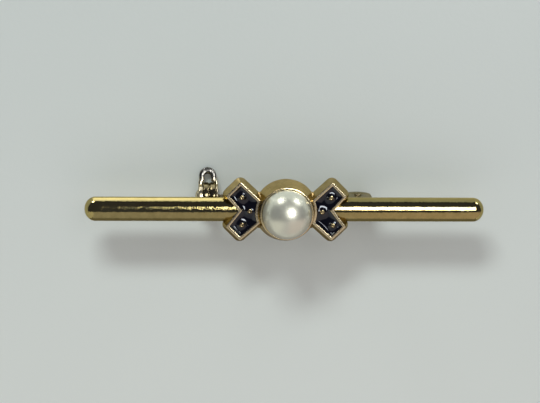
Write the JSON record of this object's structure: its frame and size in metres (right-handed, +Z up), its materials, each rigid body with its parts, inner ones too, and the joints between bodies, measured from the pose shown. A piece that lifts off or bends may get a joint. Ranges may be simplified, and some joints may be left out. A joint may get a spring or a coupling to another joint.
{
  "type": "bar brooch",
  "caption": "Slim round bar brooch with a cupped pearl between two fish-tail enamel trays, a hinged pin and a turning safety catch on the back.",
  "frame": {"origin": "on the surface that the brooch lies on, under the middle of the bar and of the whole object", "axes": "+X along the bar from the catch end to the hinge end, +Y across the bar towards the wearer's up and the side the catch lever points to, +Z up through the pearl, away from the pin"},
  "size_m": [0.057, 0.0095, 0.0138],
  "materials": {
    "gold_plate": "polished gilt with a finely pitted, rubbed surface",
    "black_enamel": "high gloss, slightly domed",
    "pearl_coat": "pearlescent lacquer",
    "pale_plate": "polished pale gilt"
  },
  "bodies": {
    "brooch": {"brooch_frame": "gold_plate", "enamel_left": "black_enamel", "enamel_right": "black_enamel", "pearl": "pearl_coat", "hinge_rivet": "pale_plate"},
    "pin": {"pin_stem": "pale_plate"},
    "catch": {"catch_roller": "pale_plate"}
  },
  "joints": [
    {"name": "pin_swing", "type": "hinge", "parent": "brooch", "child": "pin", "pos_m": [0.0109, 0, 0.0019], "axis": [0, -1, 0], "range_deg": [0, 100]},
    {"name": "catch_turn", "type": "hinge", "parent": "brooch", "child": "catch", "pos_m": [-0.0107, 0.0007, 0.0019], "axis": [1, 0, 0], "range_deg": [0, 85]}
  ]
}
